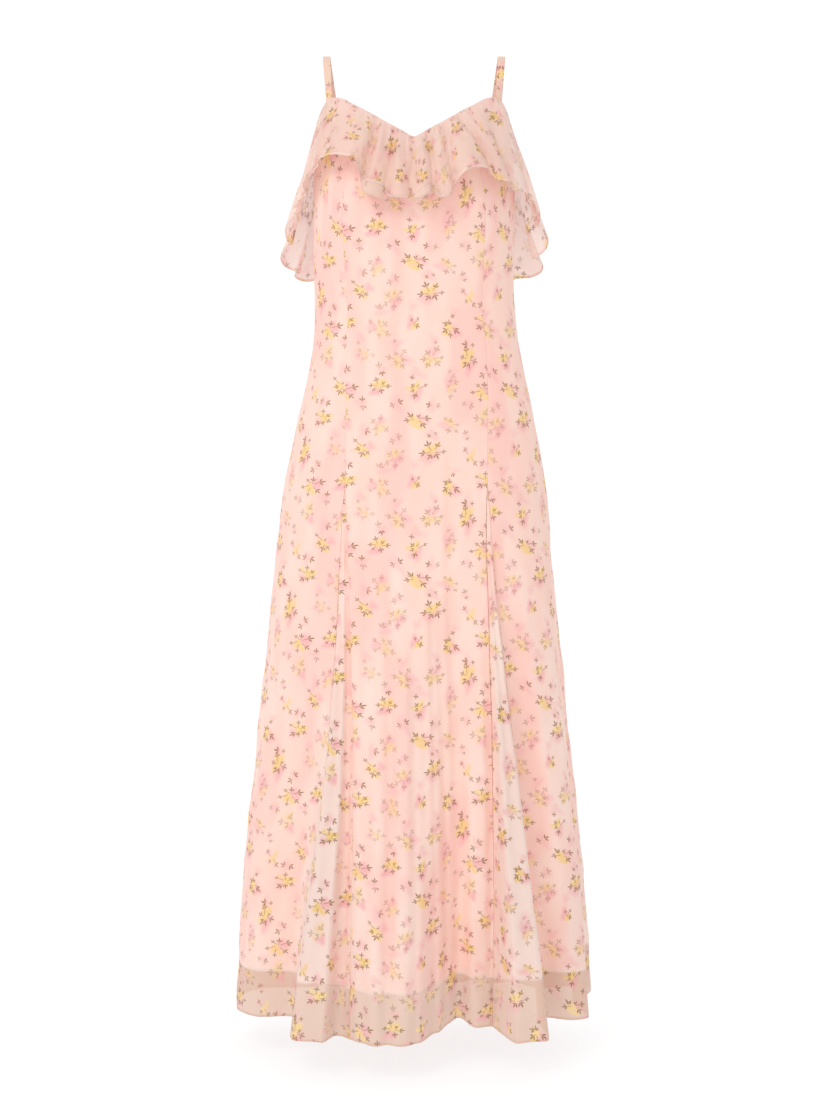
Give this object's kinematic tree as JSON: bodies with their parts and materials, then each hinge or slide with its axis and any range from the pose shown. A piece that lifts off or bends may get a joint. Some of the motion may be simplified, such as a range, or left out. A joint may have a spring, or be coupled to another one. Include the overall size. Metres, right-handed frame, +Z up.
{
  "type": "maxi dress",
  "caption": "Sleeveless maxi dress in thin floral chiffon over a lining, with a V neck, narrow straps, a flounce round the top and a flared skirt with godets.",
  "frame": {"origin": "midway between the tops of the two shoulder straps, where the wearer's shoulders hold the dress", "axes": "+Z up along the dress, the front faces -Y, +X is the wearer's left"},
  "size_m": [0.5145, 0.3588, 1.3521],
  "materials": {
    "chiffon": "sheer printed crepe chiffon, matt",
    "lining": "plain woven lining, soft sheen"
  },
  "bodies": {
    "root": {"front_panel": "chiffon", "side_front_left": "chiffon", "side_front_right": "chiffon", "godet_left": "chiffon", "godet_right": "chiffon", "back_left": "chiffon", "back_right": "chiffon", "flounce_front": "chiffon", "flounce_back": "chiffon", "strap_left": "chiffon", "strap_right": "chiffon", "lining_front": "lining", "lining_back": "lining"}
  },
  "joints": []
}
